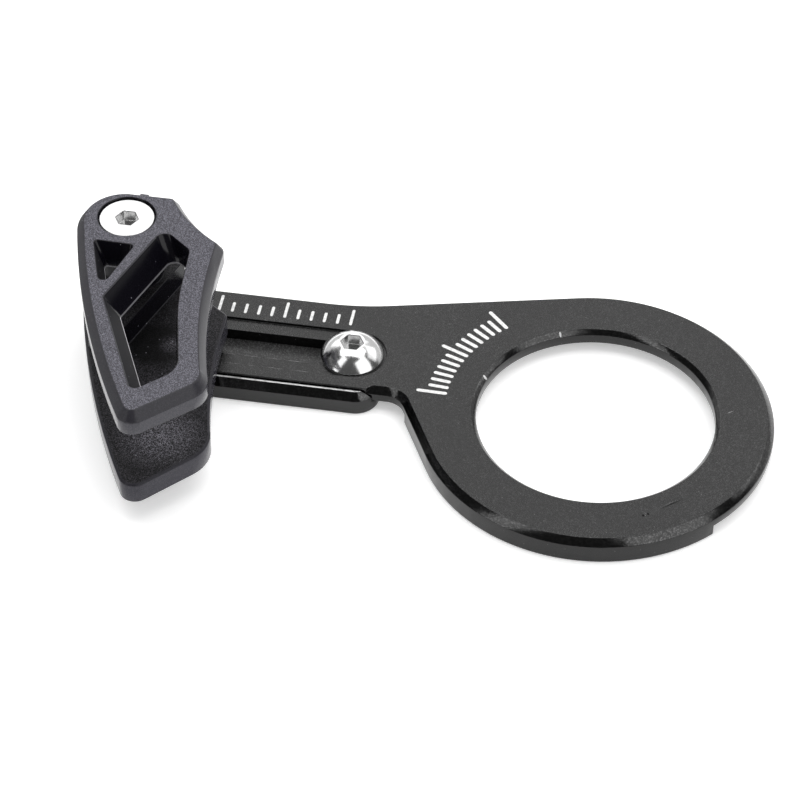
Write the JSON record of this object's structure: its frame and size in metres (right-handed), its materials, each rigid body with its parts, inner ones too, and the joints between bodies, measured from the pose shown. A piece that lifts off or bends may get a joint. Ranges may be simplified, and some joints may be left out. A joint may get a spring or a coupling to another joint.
{
  "type": "bicycle chain guide",
  "caption": "Chain guide for a bicycle: a flat ring plate that sits behind the bottom bracket cup, with a slotted arm, a sliding bracket and moulded guide plates that hold the chain on.",
  "frame": {"origin": "bore axis at the seat face that lies on the bottom bracket shell", "axes": "+Z along the bore axis away from the frame's shell, +X from the slotted arm towards the ring, along the slot"},
  "size_m": [0.1052, 0.056, 0.0223],
  "materials": {
    "plate": "black anodised, fine satin grain, white printed scale",
    "bracket": "black anodised, satin",
    "bolt": "bright polished",
    "guide": "fine spark-eroded grain with smooth bevels"
  },
  "bodies": {
    "plate": {"back_plate": "plate"},
    "slider": {"slider_bracket": "bracket", "clamp_bolt": "bolt", "inner_guide": "guide", "guide_screw": "bolt", "outer_guide": "guide", "cage_bolt": "bolt"}
  },
  "joints": [
    {"name": "guide_slide", "type": "slide", "parent": "plate", "child": "slider", "axis": [-1, 0, 0], "range_m": [0, 0.0202]}
  ]
}
